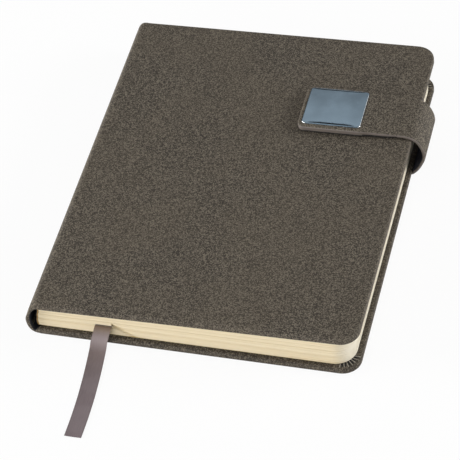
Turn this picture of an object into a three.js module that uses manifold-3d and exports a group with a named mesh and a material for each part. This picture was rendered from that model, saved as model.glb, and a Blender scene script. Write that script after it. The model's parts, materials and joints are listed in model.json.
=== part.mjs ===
// Hardcover journal with a rounded hollow spine and a magnetic strap closure.
// Millimetres, +Z up. The closed journal lies on its back cover: the spine is at -X, the fore-edge
// at +X, the head at +Y and the tail at -Y. The origin is at the middle of the back cover's
// underside. The front cover rises a little towards the fore-edge, where the pages fan out.

import * as THREE from 'three';
import { mergeVertices } from 'three/addons/utils/BufferGeometryUtils.js';
import Module from 'manifold-3d';

const wasm = await Module();
wasm.setup();

// Covers
const coverWidth = 162;
const coverHeight = 210;
const boardThickness = 2.3;
const skinThickness = 0.5;
const turnInWidth = 14;
const coverCornerRadius = 9.5;
const coverEdgeRound = 1.2;
const pastedownThickness = 0.4;
const frontTilt = THREE.MathUtils.degToRad(1.3);

// Spine
const spineHeight = 22;
const spineBulge = 6.9;
const spineBelly = 8.5;
const spineSeam = 0.3;
const spineFootHandle = 3.7;
const spineShoulderHandle = 3.1;
const spineBellyHandles = [4.7, 2.4];
const spineSkinThickness = 0.9;
const stiffenerThickness = 0.5;
const spineLiningThickness = 0.3;
const stiffenerShare = 0.62;
const spineLiningShare = 0.86;
const jointStripWidth = 4.5;

// Text block
const squareWidth = 2.7;
const blockCornerRadius = 8;
const blockBackGap = 0.5;
const ribbonHeight = 9.5;
const lowerSignatures = 5;
const upperSignatures = 7;
const signatureGap = 0.1;
const flyleafThickness = 0.25;
const glueThickness = 0.5;
const bandDepth = 1.2;
const bandReach = 1.1;
const bandRound = 0.45;

// Ribbon marker
const ribbonWidth = 8.5;
const ribbonThickness = 0.3;
const ribbonReach = 62.9;
const ribbonFromSpine = 33.5;

// Strap and its magnetic tip
const strapWidth = 29;
const strapCentreY = 47.8;
const strapLeather = 1;
const strapLining = 0.5;
const strapBulge = 7;
const strapBulgeHeight = 13.5;
const strapLift = 2;
const strapOverlap = 11;
const strapFullnessLow = 2.2;
const strapFullnessHigh = 2.4;
const rootLength = 38;
const rootThickness = 1;
const padLength = 35;
const padWidth = 30.5;
const padThickness = 3.6;
const padCornerRadius = 4;
const padEdgeRound = 0.8;
const padFromForeEdge = 24.5;
const padLipHeight = 0.5;
const padLiningInset = 0.6;
const neckIntoPad = 2;
const plateLength = 30.2;
const plateWidth = 25.4;
const plateThickness = 1.3;
const plateCornerRadius = 2.5;
const plateEdgeRound = 0.4;
const plateSeat = 0.6;
const plateInset = 2.4;
const magnetLength = 20;
const magnetWidth = 15;
const magnetThickness = 1.2;
const keeperThickness = 1;

// Fits
const clear = 0.2;
const layerGap = 0.1;

// Places that follow from the sizes
const spineX = -coverWidth / 2;
const foreX = coverWidth / 2;
const coverThickness = boardThickness + 2 * skinThickness + 2 * layerGap;
const strapThickness = strapLeather + layerGap + strapLining;
const blockHeight = coverHeight - 2 * squareWidth;
const blockBackX = spineX + blockBackGap;
const blockForeX = foreX - squareWidth;
const tailY = -blockHeight / 2;
const coverTopAt = (x) => spineHeight + (x - spineX) * Math.tan(frontTilt);
const hookTopX = foreX - strapOverlap;
const bulgeX = foreX + strapBulge;
const ribbonX = spineX + ribbonFromSpine;

// Colours of the closed journal
const material = (color, roughness, metalness = 0) =>
  new THREE.MeshStandardMaterial({ color, roughness, metalness });
const leatherette = material(0x554e45, 0.75);
const lining = material(0x1c1d26, 0.85);
const greyboard = material(0x8d877c, 0.95);
const paper = material(0xe6dcc0, 0.9);
const endpaper = material(0xd8c79c, 0.9);
const glue = material(0x4a3626, 0.7);
const bandSilk = material(0x8a6a34, 0.6);
const satin = material(0x7b6d70, 0.4);
const gunmetal = material(0x6f7d88, 0.22, 1);
const magnetSteel = material(0x9a9a9c, 0.35, 1);

// Closed solids

function toManifold(geometry) {
  const bare = geometry.clone();
  bare.deleteAttribute('normal');
  bare.deleteAttribute('uv');
  const merged = mergeVertices(bare, 1e-5);
  return new wasm.Manifold(new wasm.Mesh({
    numProp: 3,
    vertProperties: new Float32Array(merged.attributes.position.array),
    triVerts: new Uint32Array(merged.index.array),
  }));
}

function toGeometry(solid) {
  const mesh = solid.getMesh();
  const geometry = new THREE.BufferGeometry();
  geometry.setAttribute('position', new THREE.BufferAttribute(mesh.vertProperties, 3));
  geometry.setIndex(new THREE.BufferAttribute(mesh.triVerts, 1));
  return geometry;
}

const cut = (body, ...tools) =>
  toGeometry(tools.reduce((rest, tool) => rest.subtract(toManifold(tool)), toManifold(body)));
const common = (a, b) => toGeometry(toManifold(a).intersect(toManifold(b)));
const join = (...parts) => toGeometry(parts.map(toManifold).reduce((a, b) => a.add(b)));

// A plan outline with its own radius at the -X corners and at the +X corners.
function roundedPlan(x0, x1, y0, y1, radiusLow, radiusHigh) {
  const shape = new THREE.Shape();
  const quarter = Math.PI / 2;
  shape.moveTo(x0, y0 + radiusLow);
  if (radiusLow > 0) {
    shape.absarc(x0 + radiusLow, y0 + radiusLow, radiusLow, 2 * quarter, 3 * quarter);
  }
  shape.lineTo(x1 - radiusHigh, y0);
  if (radiusHigh > 0) {
    shape.absarc(x1 - radiusHigh, y0 + radiusHigh, radiusHigh, -quarter, 0);
  }
  shape.lineTo(x1, y1 - radiusHigh);
  if (radiusHigh > 0) {
    shape.absarc(x1 - radiusHigh, y1 - radiusHigh, radiusHigh, 0, quarter);
  }
  shape.lineTo(x0 + radiusLow, y1);
  if (radiusLow > 0) {
    shape.absarc(x0 + radiusLow, y1 - radiusLow, radiusLow, quarter, 2 * quarter);
  }
  return shape;
}

// A plate that lies between two heights, its long edges softened by edgeRound.
function slab(shape, z0, z1, edgeRound = 0) {
  const round = Math.min(edgeRound, 0.45 * (z1 - z0));
  const geometry = new THREE.ExtrudeGeometry(shape, {
    depth: z1 - z0 - 2 * round,
    curveSegments: 10,
    bevelEnabled: round > 0,
    bevelThickness: round,
    bevelSize: round,
    bevelOffset: -round,
    bevelSegments: 3,
  });
  return geometry.translate(0, 0, z0 + round);
}

const box = (x0, x1, y0, y1, z0, z1) =>
  new THREE.BoxGeometry(x1 - x0, y1 - y0, z1 - z0)
    .translate((x0 + x1) / 2, (y0 + y1) / 2, (z0 + z1) / 2);

// A solid whose side view, drawn with X across and Z up, runs along Y from y0 to y1.
function runAlongY(outline, y0, y1) {
  const geometry = new THREE.ExtrudeGeometry(new THREE.Shape(outline), {
    depth: y1 - y0,
    bevelEnabled: false,
  });
  const position = geometry.attributes.position;
  for (let i = 0; i < position.count; i += 1) {
    position.setXYZ(i, position.getX(i), y1 - position.getZ(i), position.getY(i));
  }
  return geometry;
}

// The closed outline between two offsets to the left of a run of points.
function layer(points, near, far) {
  const offset = (distance) => points.map((point, i) => {
    const before = points[Math.max(i - 1, 0)];
    const after = points[Math.min(i + 1, points.length - 1)];
    const along = new THREE.Vector2().subVectors(after, before).normalize();
    return new THREE.Vector2(point.x - along.y * distance, point.y + along.x * distance);
  });
  const outline = [...offset(near), ...offset(far).reverse()];
  return THREE.ShapeUtils.isClockWise(outline) ? outline.reverse() : outline;
}

// Points of a superellipse arc: power 2 is an ellipse, and a higher one is fuller at its shoulders.
function fullArc(centre, reach, rise, power, from, to, steps) {
  const soften = (value) => Math.sign(value) * Math.abs(value) ** (2 / power);
  return Array.from({ length: steps + 1 }, (_, i) => {
    const angle = from + ((to - from) * i) / steps;
    const across = Math.abs(Math.cos(angle)) < 1e-9 ? 0 : soften(Math.cos(angle));
    return new THREE.Vector2(centre.x + reach * across, centre.y + rise * soften(Math.sin(angle)));
  });
}

const part = (name, geometry, finish) => {
  const mesh = new THREE.Mesh(geometry, finish);
  mesh.name = name;
  return mesh;
};

// Covers: a greyboard in a leatherette skin that turns in around its edges, and a pastedown that
// fills the window in the turn-ins. Each is drawn flat with its outer face at z = 0 and its inner
// face at side * coverThickness, where side is +1 for the back cover and -1 for the front one.
function coverPieces(x0, side) {
  const level = (near, far) => [side * near, side * far].sort((a, b) => a - b);
  const halfHeight = coverHeight / 2;
  const plan = (inset) => roundedPlan(
    x0 + inset, foreX - inset, -halfHeight + inset, halfHeight - inset,
    0, Math.max(coverCornerRadius - inset, 0.5),
  );
  const boardNear = skinThickness + layerGap;
  const boardFar = boardNear + boardThickness;
  const pocketInset = skinThickness + layerGap;
  const skin = cut(
    slab(plan(0), ...level(0, coverThickness), coverEdgeRound),
    slab(plan(pocketInset), ...level(skinThickness, boardFar + layerGap)),
    slab(plan(turnInWidth), ...level(boardFar, coverThickness + 1)),
  );
  const board = slab(plan(pocketInset + layerGap), ...level(boardNear, boardFar));
  const pastedown = slab(
    plan(turnInWidth + clear),
    ...level(boardFar + layerGap, boardFar + layerGap + pastedownThickness),
  );
  return { skin, board, pastedown };
}

// The strap's tab lies in a recess of the back cover's underside, so the journal rests flat.
const recess = box(
  foreX - rootLength - clear, foreX + 1,
  strapCentreY - strapWidth / 2 - clear, strapCentreY + strapWidth / 2 + clear,
  -1, rootThickness + clear,
);

function backCover() {
  const { skin, board, pastedown } = coverPieces(spineX + clear, 1);
  const group = new THREE.Group();
  group.add(
    part('back_skin', cut(skin, recess), leatherette),
    part('back_board', cut(board, recess), greyboard),
    part('back_pastedown', pastedown, endpaper),
    part('strap_root', slab(
      roundedPlan(
        foreX - rootLength, foreX - clear,
        strapCentreY - strapWidth / 2, strapCentreY + strapWidth / 2, 3, 0,
      ),
      0, rootThickness,
    ), leatherette),
  );
  return group;
}

// The front cover's frame turns with its tilt about the top of the spine.
function frontFrame() {
  const group = new THREE.Group();
  group.position.set(spineX, 0, spineHeight);
  group.rotation.y = -frontTilt;
  return group;
}
const inFrontFrame = (geometry) => geometry.translate(-spineX, 0, 0);

const frontStartX = spineX + jointStripWidth + 2 * clear;
const padX1 = foreX - padFromForeEdge;
const padX0 = padX1 - padLength;
const padCentreX = (padX0 + padX1) / 2;

// A magnet or a keeper, centred under the strap's pad.
const magnetPlan = (inset) => roundedPlan(
  padCentreX - magnetLength / 2 + inset, padCentreX + magnetLength / 2 - inset,
  strapCentreY - magnetWidth / 2 + inset, strapCentreY + magnetWidth / 2 - inset, 2, 2,
);

function frontCover() {
  const { skin, board, pastedown } = coverPieces(frontStartX, -1);
  const boardTop = -(skinThickness + layerGap);
  const keeperPocket = slab(
    magnetPlan(-clear), boardTop - keeperThickness - layerGap, boardTop + layerGap,
  );
  const keeper = slab(magnetPlan(0), boardTop - keeperThickness, boardTop);
  const group = frontFrame();
  group.add(
    part('front_skin', inFrontFrame(skin), leatherette),
    part('front_board', inFrontFrame(cut(board, keeperPocket)), greyboard),
    part('front_pastedown', inFrontFrame(pastedown), endpaper),
    part('cover_keeper', inFrontFrame(keeper), magnetSteel),
  );
  return group;
}

// The joint strip is the flexible stretch of skin between the spine and the front board.
function jointStrip() {
  const group = frontFrame();
  const x0 = spineX + clear;
  const x1 = x0 + jointStripWidth - clear;
  const halfHeight = coverHeight / 2;
  const skin = box(x0, x1, -halfHeight, halfHeight, -spineSkinThickness, 0);
  const liningTop = -spineSkinThickness - layerGap;
  const halfLining = halfHeight - skinThickness;
  const inner = box(
    x0, x1, -halfLining, halfLining, liningTop - spineLiningThickness, liningTop,
  );
  group.add(
    part('joint_skin', inFrontFrame(skin), leatherette),
    part('joint_lining', inFrontFrame(inner), lining),
  );
  return group;
}

// The side view of the spine: a low belly that rises to a tighter shoulder under the front joint.
// The share is how much of the whole curve is drawn, from its middle.
function spineCurve(share, steps) {
  const point = (out, z) => new THREE.Vector2(spineX - out, z);
  const curve = new THREE.CurvePath();
  const [below, above] = spineBellyHandles;
  curve.add(new THREE.CubicBezierCurve(
    point(spineSeam, 0), point(spineSeam + spineFootHandle, 0),
    point(spineBulge, spineBelly - below), point(spineBulge, spineBelly),
  ));
  curve.add(new THREE.CubicBezierCurve(
    point(spineBulge, spineBelly), point(spineBulge, spineBelly + above),
    point(spineSeam + spineShoulderHandle, spineHeight), point(spineSeam, spineHeight),
  ));
  return Array.from({ length: steps + 1 }, (_, i) =>
    curve.getPoint(0.5 + share * (i / steps - 0.5)));
}

// The spine is one arc from the back joint to the front joint, in three layers.
function spine() {
  const whole = [
    new THREE.Vector2(spineX, 0), ...spineCurve(1, 28), new THREE.Vector2(spineX, spineHeight),
  ];
  const card = spineCurve(stiffenerShare, 18);
  const inside = spineCurve(spineLiningShare, 24);
  const halfHeight = coverHeight / 2;
  const halfLining = halfHeight - skinThickness;
  const cardNear = spineSkinThickness + layerGap;
  const liningNear = cardNear + stiffenerThickness + layerGap;
  const strip = (points, near, far, half) => runAlongY(layer(points, -near, -far), -half, half);
  const group = new THREE.Group();
  group.add(
    part('spine_skin', strip(whole, 0, spineSkinThickness, halfHeight), leatherette),
    part('spine_stiffener',
      strip(card, cardNear, cardNear + stiffenerThickness, halfLining), greyboard),
    part('spine_lining',
      strip(inside, liningNear, liningNear + spineLiningThickness, halfLining), lining),
  );
  return group;
}

// Text block: folded signatures in two halves, with the ribbon marker between them. The upper half
// fans out to follow the front cover. Heights at a place are given as a share of each half.
const lowerFloor = coverThickness + clear;
const lowerLeaves = lowerFloor + flyleafThickness + signatureGap;
const ribbonSlot = ribbonThickness + 2 * layerGap;
const upperFloor = ribbonHeight + ribbonSlot;
const underFrontAt = (x) =>
  coverTopAt(x) - coverThickness / Math.cos(frontTilt) - 2 * clear;
const upperLeavesAt = (x) => underFrontAt(x) - flyleafThickness - signatureGap;

const blockPlan = slab(
  roundedPlan(
    blockBackX - 5, blockForeX, tailY, -tailY, 0, blockCornerRadius,
  ),
  -1, 2 * spineHeight,
);

// The side view of folded sheets between two lines: round at the fold, cut square at the fore-edge.
function foldedOutline(bottomAt, topAt, foldRound) {
  const low = bottomAt(blockBackX);
  const high = topAt(blockBackX);
  const radius = foldRound ? (high - low) / 2 : 0;
  const fold = Array.from({ length: foldRound ? 5 : 0 }, (_, i) => {
    const angle = Math.PI / 2 + (Math.PI * (i + 0.5)) / 5;
    return new THREE.Vector2(
      blockBackX + radius + radius * Math.cos(angle), (low + high) / 2 + radius * Math.sin(angle),
    );
  });
  const start = blockBackX + radius;
  return [
    new THREE.Vector2(start, bottomAt(start)),
    new THREE.Vector2(blockForeX, bottomAt(blockForeX)),
    new THREE.Vector2(blockForeX, topAt(blockForeX)),
    new THREE.Vector2(start, topAt(start)),
    ...fold,
  ];
}

const leaves = (bottomAt, topAt, foldRound) =>
  common(runAlongY(foldedOutline(bottomAt, topAt, foldRound), tailY, -tailY), blockPlan);

function signatures(group, prefix, count, bottomAt, topAt) {
  const levelAt = (share) => (x) => bottomAt(x) + (topAt(x) - bottomAt(x)) * share;
  for (let i = 0; i < count; i += 1) {
    const top = levelAt((i + 1) / count);
    const geometry = leaves(levelAt(i / count), (x) => top(x) - signatureGap, true);
    group.add(part(`${prefix}_signature_${i + 1}`, geometry, paper));
  }
}

// The glued back of one half, and the bands that cover its ends.
function blockBack(group, prefix, z0, z1) {
  const glueX1 = blockBackX - layerGap;
  const glueX0 = glueX1 - glueThickness;
  group.add(part(`${prefix}_glue`, box(glueX0, glueX1, tailY, -tailY, z0, z1), glue));
  for (const [end, sign] of [['tail', -1], ['head', 1]]) {
    const y0 = sign * (blockHeight / 2 + layerGap);
    const y1 = y0 + sign * bandReach;
    const plan = roundedPlan(
      glueX0, glueX0 + bandDepth, Math.min(y0, y1), Math.max(y0, y1), bandRound, bandRound,
    );
    group.add(part(`${end}_band_${prefix}`, slab(plan, z0, z1), bandSilk));
  }
}

function lowerHalf() {
  const group = new THREE.Group();
  group.add(part('back_flyleaf',
    leaves(() => lowerFloor, () => lowerFloor + flyleafThickness, false), endpaper));
  signatures(group, 'lower', lowerSignatures, () => lowerLeaves, () => ribbonHeight);
  blockBack(group, 'lower', lowerFloor, ribbonHeight - signatureGap);
  return group;
}

function upperHalf() {
  const group = new THREE.Group();
  signatures(group, 'upper', upperSignatures, () => upperFloor, upperLeavesAt);
  group.add(part('front_flyleaf',
    leaves((x) => underFrontAt(x) - flyleafThickness, underFrontAt, false), endpaper));
  blockBack(group, 'upper', upperFloor, underFrontAt(blockBackX) - signatureGap);
  return group;
}

// Ribbon marker: glued at the head of the block's back, it lies between the two halves, falls
// over the lower pages and the back cover's edge, and ends on the table. The route is the middle
// of the free stretch, from the pages to its cut end.
const ribbonMid = ribbonHeight + layerGap + ribbonThickness / 2 - signatureGap / 2;
const onTable = ribbonThickness / 2 + 0.05;
const ribbonRoute = [
  [0, -0.3, ribbonMid],
  [-0.1, -1.3, ribbonMid - 0.35],
  [-0.35, -2.4, ribbonMid - 1.4],
  [-0.8, -3.3, ribbonMid - 3],
  [-1.3, -4.2, ribbonMid - 4.9],
  [-1.75, -5.3, ribbonMid - 6.8],
  [-1.8, -6.7, onTable + 1.3],
  [-1.7, -8.7, onTable + 0.45],
  [-1.45, -11.7, onTable + 0.1],
  [-1, -16, onTable],
  [-0.5, -21, onTable],
  [-0.05, -26, onTable],
  [0.35, -31.4, onTable],
  [0.7, -36.4, onTable],
  [0.95, -41.5, onTable],
  [1.1, -46.5, onTable],
  [1.2, -51.5, onTable],
  [1.2, -57, onTable],
  [1.15, -ribbonReach, onTable + 0.05],
].map(([x, y, z]) => new THREE.Vector3(ribbonX + x, tailY + y, z));

// A flat strip along a route that always runs towards -Y.
function flatStrip(route, width, thickness) {
  const side = layer(
    route.map(({ y, z }) => new THREE.Vector2(y, z)), -thickness / 2, thickness / 2,
  );
  const middleAt = (y) => {
    const next = Math.max(1, route.findIndex((point) => point.y <= y));
    const [a, b] = [route[next - 1], route[next]];
    return THREE.MathUtils.lerp(a.x, b.x, THREE.MathUtils.clamp((a.y - y) / (a.y - b.y), 0, 1));
  };
  const strip = new THREE.ExtrudeGeometry(new THREE.Shape(side), {
    depth: width,
    bevelEnabled: false,
  });
  const position = strip.attributes.position;
  for (let i = 0; i < position.count; i += 1) {
    const y = position.getX(i);
    position.setXYZ(i, middleAt(y) - width / 2 + position.getZ(i), y, position.getY(i));
  }
  return strip;
}

function ribbon() {
  const headX = blockBackX + ribbonWidth;
  const headY = -tailY - 1;
  const z0 = ribbonMid - ribbonThickness / 2;
  const inner = new THREE.Shape([
    new THREE.Vector2(ribbonX - ribbonWidth / 2, tailY),
    new THREE.Vector2(ribbonX + ribbonWidth / 2, tailY),
    new THREE.Vector2(headX, headY),
    new THREE.Vector2(headX - ribbonWidth, headY),
  ]);
  const group = new THREE.Group();
  group.add(
    part('ribbon_inner', slab(inner, z0, z0 + ribbonThickness), satin),
    part('ribbon_tail', flatStrip(ribbonRoute, ribbonWidth, ribbonThickness), satin),
  );
  return group;
}

// Strap: it leaves the back cover's underside, curls round the fore-edge in two curved pieces and
// lies on the front cover with its tip. Each curve is drawn along the strap's inner face.
const hookTopZ = coverTopAt(hookTopX) + strapLift;

function strapCurve(name, points) {
  const y0 = strapCentreY - strapWidth / 2;
  const y1 = strapCentreY + strapWidth / 2;
  const inner = layer(points, 0, -strapLining);
  const outer = layer(points, -strapLining - layerGap, -strapThickness);
  return [
    part(`${name}_lining`, runAlongY(inner, y0, y1), lining),
    part(`${name}_leather`, runAlongY(outer, y0, y1), leatherette),
  ];
}

function strapHook() {
  const startX = foreX + layerGap;
  const quarter = Math.PI / 2;
  const seam = 0.012;
  const low = fullArc(
    new THREE.Vector2(startX, strapBulgeHeight), bulgeX - startX,
    strapBulgeHeight - strapThickness, strapFullnessLow, -quarter, -seam, 12,
  );
  const high = fullArc(
    new THREE.Vector2(hookTopX, strapBulgeHeight), bulgeX - hookTopX,
    hookTopZ - strapBulgeHeight, strapFullnessHigh, seam, quarter, 16,
  );
  const group = new THREE.Group();
  group.add(...strapCurve('strap_low', low), ...strapCurve('strap_high', high));
  return group;
}

// The tip is drawn in the front cover's frame: a thin neck, then a pad that holds the magnet and
// carries the metal plate in a seat that is open towards the fore-edge.
function strapTip() {
  const halfStrap = strapWidth / 2;
  const halfPad = padWidth / 2;
  const padTop = strapLift + strapThickness;
  const padFloor = padTop - padThickness + clear;
  const liningTop = padFloor + strapLining;
  const leatherFloor = liningTop + layerGap;
  const neckX1 = hookTopX - clear;
  const neckPlan = roundedPlan(
    padX1 - neckIntoPad, neckX1, strapCentreY - halfStrap, strapCentreY + halfStrap, 0, 0,
  );
  const padPlan = (inset) => roundedPlan(
    padX0 + inset, padX1 - inset,
    strapCentreY - halfPad + inset, strapCentreY + halfPad - inset,
    padCornerRadius - inset, padCornerRadius - inset,
  );
  const plateX0 = padX0 + plateInset;
  const plateX1 = plateX0 + plateLength;
  const platePlan = (inset) => roundedPlan(
    plateX0 + inset, plateX1 - inset,
    strapCentreY - plateWidth / 2 + inset, strapCentreY + plateWidth / 2 - inset,
    plateCornerRadius - inset, plateCornerRadius - inset,
  );
  const seatFloor = padTop - plateSeat;
  const body = join(
    slab(padPlan(0), leatherFloor, padTop + padLipHeight, padEdgeRound),
    slab(neckPlan, padTop - strapLeather, padTop),
  );
  const cavity = slab(magnetPlan(-clear), liningTop, liningTop + magnetThickness + 2 * layerGap);
  const leather = cut(
    body,
    slab(platePlan(-clear), seatFloor - layerGap, padTop + 2),
    box(
      plateX1 - plateCornerRadius, padX1 + 2, strapCentreY - padWidth, strapCentreY + padWidth,
      padTop, padTop + 2,
    ),
    cavity,
  );
  const plate = slab(
    platePlan(0), seatFloor, seatFloor + plateThickness, plateEdgeRound,
  );
  const magnet = slab(magnetPlan(0), leatherFloor, leatherFloor + magnetThickness);
  const neckLining = slab(
    roundedPlan(
      padX1 + clear, neckX1, strapCentreY - halfStrap, strapCentreY + halfStrap, 0, 0,
    ),
    strapLift, strapLift + strapLining,
  );
  const group = frontFrame();
  group.add(
    part('tip_leather', inFrontFrame(leather), leatherette),
    part('tip_lining', inFrontFrame(slab(padPlan(padLiningInset), padFloor, liningTop)), lining),
    part('neck_lining', inFrontFrame(neckLining), lining),
    part('tip_magnet', inFrontFrame(magnet), magnetSteel),
    part('tip_plate', inFrontFrame(plate), gunmetal),
  );
  return group;
}

const journal = new THREE.Group();
journal.add(
  backCover(), lowerHalf(), ribbon(), spine(), jointStrip(), frontCover(), upperHalf(),
  strapHook(), strapTip(),
);
journal.updateMatrixWorld(true);

export default journal;
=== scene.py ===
"""A closed hardcover journal with a magnetic strap, dressed for rendering.

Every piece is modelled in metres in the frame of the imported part: +X runs from the spine to the
fore-edge, +Y from the tail to the head and +Z up. The numbers in millimetres below are turned into
metres by mm().
"""

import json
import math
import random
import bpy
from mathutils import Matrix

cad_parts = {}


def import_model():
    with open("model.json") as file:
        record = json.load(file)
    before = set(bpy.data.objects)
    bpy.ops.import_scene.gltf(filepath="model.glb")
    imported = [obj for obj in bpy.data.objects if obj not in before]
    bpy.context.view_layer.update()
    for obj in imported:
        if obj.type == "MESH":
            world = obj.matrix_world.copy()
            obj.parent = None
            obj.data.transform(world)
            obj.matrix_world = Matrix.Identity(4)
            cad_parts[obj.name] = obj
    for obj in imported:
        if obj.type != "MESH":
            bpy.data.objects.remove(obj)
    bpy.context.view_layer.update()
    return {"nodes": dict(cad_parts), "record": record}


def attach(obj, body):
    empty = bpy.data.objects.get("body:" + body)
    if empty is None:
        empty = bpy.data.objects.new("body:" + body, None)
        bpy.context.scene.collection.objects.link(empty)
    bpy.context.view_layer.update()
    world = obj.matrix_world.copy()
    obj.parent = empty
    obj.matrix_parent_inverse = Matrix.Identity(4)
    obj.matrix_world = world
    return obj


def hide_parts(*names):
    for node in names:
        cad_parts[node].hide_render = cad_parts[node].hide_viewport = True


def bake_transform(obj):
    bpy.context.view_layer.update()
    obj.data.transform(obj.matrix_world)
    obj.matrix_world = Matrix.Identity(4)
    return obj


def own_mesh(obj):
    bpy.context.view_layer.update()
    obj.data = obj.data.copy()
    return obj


bl_info = {
    "name": "Hardcover journal with a strap",
    "version": (1, 0, 0),
    "blender": (4, 5, 0),
    "location": "3D View > Sidebar > Journal",
    "description": "Leather, pages, ribbon and strap of a hardcover journal",
    "category": "Object",
}

import bmesh
import bpy
from mathutils import Matrix, Vector

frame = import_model()


def mm(value):
    return value * 0.001


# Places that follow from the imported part
TILT = math.radians(1.3)
SPINE_X = mm(-81)
FORE_X = mm(81)
SPINE_TOP = mm(22)
HALF_HEIGHT = mm(105)
TAIL_Y = mm(-102.3)
BLOCK_BACK = mm(-80.5)
BLOCK_FORE = mm(78.05)
COVER = mm(3.5)
STRAP_Y = mm(47.8)
STRAP_HALF = mm(14.5)
STRAP_THICK = mm(1.5)


def linear(red, green, blue):
    """A colour of the photograph, given from 0 to 255, as Blender's linear colour."""

    def channel(value):
        share = value / 255
        return share / 12.92 if share <= 0.04045 else ((share + 0.055) / 1.055) ** 2.4

    return (channel(red), channel(green), channel(blue), 1.0)


# Sizes and colours that a user would change


def a_length(name, description, default, low, high):
    """A length whose default and limits are given in millimetres."""
    return bpy.props.FloatProperty(
        name=name, description=description, default=mm(default), min=mm(low), max=mm(high),
        unit="LENGTH", precision=5,
    )


def a_count(name, description, default, low, high):
    return bpy.props.IntProperty(
        name=name, description=description, default=default, min=low, max=high
    )


def a_colour(name, description, *default):
    return bpy.props.FloatVectorProperty(
        name=name, description=description, default=linear(*default), subtype="COLOR", size=4,
        min=0.0, max=1.0,
    )


class JournalSizes(bpy.types.PropertyGroup):
    edge_round: a_length("Edge round", "Rounding of the covers' outer edges", 1.15, 0.3, 1.5)
    leaves: a_count("Leaves in a signature", "Leaves drawn in each folded signature", 8, 4, 16)
    page_jitter: a_length("Page jitter", "How far single leaves stand out of the block's edge",
                          0.09, 0.0, 0.4)
    ribbon_width: a_length("Ribbon width", "Width of the ribbon marker", 8.5, 4, 12)
    plate_dome: a_length("Plate dome", "Height of the dome on the strap's metal plate",
                         0.45, 0.0, 1)
    pleats: a_count("Corner pleats", "Gathered folds in each rounded corner of a turn-in",
                    6, 3, 12)


class JournalColours(bpy.types.PropertyGroup):
    leather: a_colour("Leather", "Middle colour of the leatherette", 84, 74, 60)
    leather_dark: a_colour("Leather, dark specks", "Dark specks of the leatherette", 44, 38, 31)
    leather_light: a_colour("Leather, light specks", "Light sandy specks of the leatherette",
                            117, 109, 96)
    edge_paint: a_colour("Edge paint", "Paint on the strap's cut edges", 104, 95, 90)
    paper: a_colour("Paper", "Cream of the pages", 234, 221, 192)
    ribbon: a_colour("Ribbon", "Satin of the ribbon marker", 118, 106, 108)
    plate: a_colour("Plate", "Polished metal of the strap's plate", 112, 128, 140)
    lining: a_colour("Lining", "Dark lining of the spine and the strap", 26, 27, 36)


# Shader maths

EVEN = (1, 1, 1)


class Value:
    """A socket with one number, so that shader maths reads as a Python expression."""

    def __init__(self, finish, socket):
        self.finish, self.socket = finish, socket

    def maths(self, operation, *numbers):
        node = self.finish.node(
            "ShaderNodeMath", {"operation": operation}, dict(enumerate(numbers))
        )
        return Value(self.finish, node.outputs[0])

    def __add__(self, other):
        return self.maths("ADD", self, other)

    def __sub__(self, other):
        return self.maths("SUBTRACT", self, other)

    def __rsub__(self, other):
        return self.maths("SUBTRACT", other, self)

    def __mul__(self, other):
        return self.maths("MULTIPLY", self, other)

    def __truediv__(self, other):
        return self.maths("DIVIDE", self, other)

    __radd__ = __add__
    __rmul__ = __mul__

    def between(self, low, high):
        """0 below low, 1 above high, and a smooth step in between."""
        node = self.finish.node(
            "ShaderNodeMapRange", {"interpolation_type": "SMOOTHSTEP"},
            {0: self, 1: low, 2: high, 3: 0.0, 4: 1.0},
        )
        return Value(self.finish, node.outputs[0])


class Finish:
    """The nodes of one material, or of the world, built up one by one."""

    def __init__(self, name, owner=None):
        self.material = owner or bpy.data.materials.new(name)
        self.material.use_nodes = True
        self.tree = self.material.node_tree
        self.tree.nodes.clear()

    def node(self, kind, settings=None, sockets=None):
        node = self.tree.nodes.new(kind)
        for key, value in (settings or {}).items():
            setattr(node, key, value)
        for key, value in (sockets or {}).items():
            if isinstance(value, Value):
                value = value.socket
            if isinstance(value, bpy.types.NodeSocket):
                self.tree.links.new(value, node.inputs[key])
            else:
                node.inputs[key].default_value = value
        return node

    def place(self, scale=EVEN, turn=(0, 0, 0)):
        """Object coordinates, stretched and turned."""
        here = self.node("ShaderNodeTexCoord").outputs["Object"]
        node = self.node("ShaderNodeMapping", None, {0: here, 2: turn, 3: scale})
        return node.outputs[0]

    def part(self, vector, name):
        """The X, Y or Z of a vector."""
        node = self.node("ShaderNodeSeparateXYZ", None, {0: vector})
        return Value(self, node.outputs[name])

    def axis(self, name):
        """One of the object coordinates, in metres."""
        return self.part(self.node("ShaderNodeTexCoord").outputs["Object"], name)

    def noise(self, size, detail=2.0, roughness=0.5, scale=EVEN):
        """Noise from 0 to 1 in spots about size metres across, drawn out where scale is small."""
        node = self.node("ShaderNodeTexNoise", None, {
            "Vector": self.place(scale), "Scale": 1 / size,
            "Detail": detail, "Roughness": roughness,
        })
        return Value(self, node.outputs[0])

    def grains(self, size, turn):
        """A random number from 0 to 1 for each grain of about size metres."""
        cell = self.node("ShaderNodeTexVoronoi", None, {
            "Vector": self.place(turn=turn), "Scale": 1 / size,
        })
        return self.part(cell.outputs["Color"], "X")

    def mix(self, share, low, high):
        """A colour between two others, 6 and 7 being the Mix node's colour sockets."""
        node = self.node("ShaderNodeMix", {"data_type": "RGBA"}, {0: share, 6: low, 7: high})
        return node.outputs[2]

    def bump(self, height, distance, strength=1.0):
        node = self.node("ShaderNodeBump", None, {
            "Height": height, "Distance": distance, "Strength": strength,
        })
        return node.outputs[0]

    def shade(self, **sockets):
        """Ends the material with a Principled shader; words are joined by _ for its sockets."""
        named = {key.replace("_", " "): value for key, value in sockets.items()}
        shader = self.node("ShaderNodeBsdfPrincipled", None, named)
        self.node("ShaderNodeOutputMaterial", None, {0: shader.outputs[0]})
        return self.material


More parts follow.
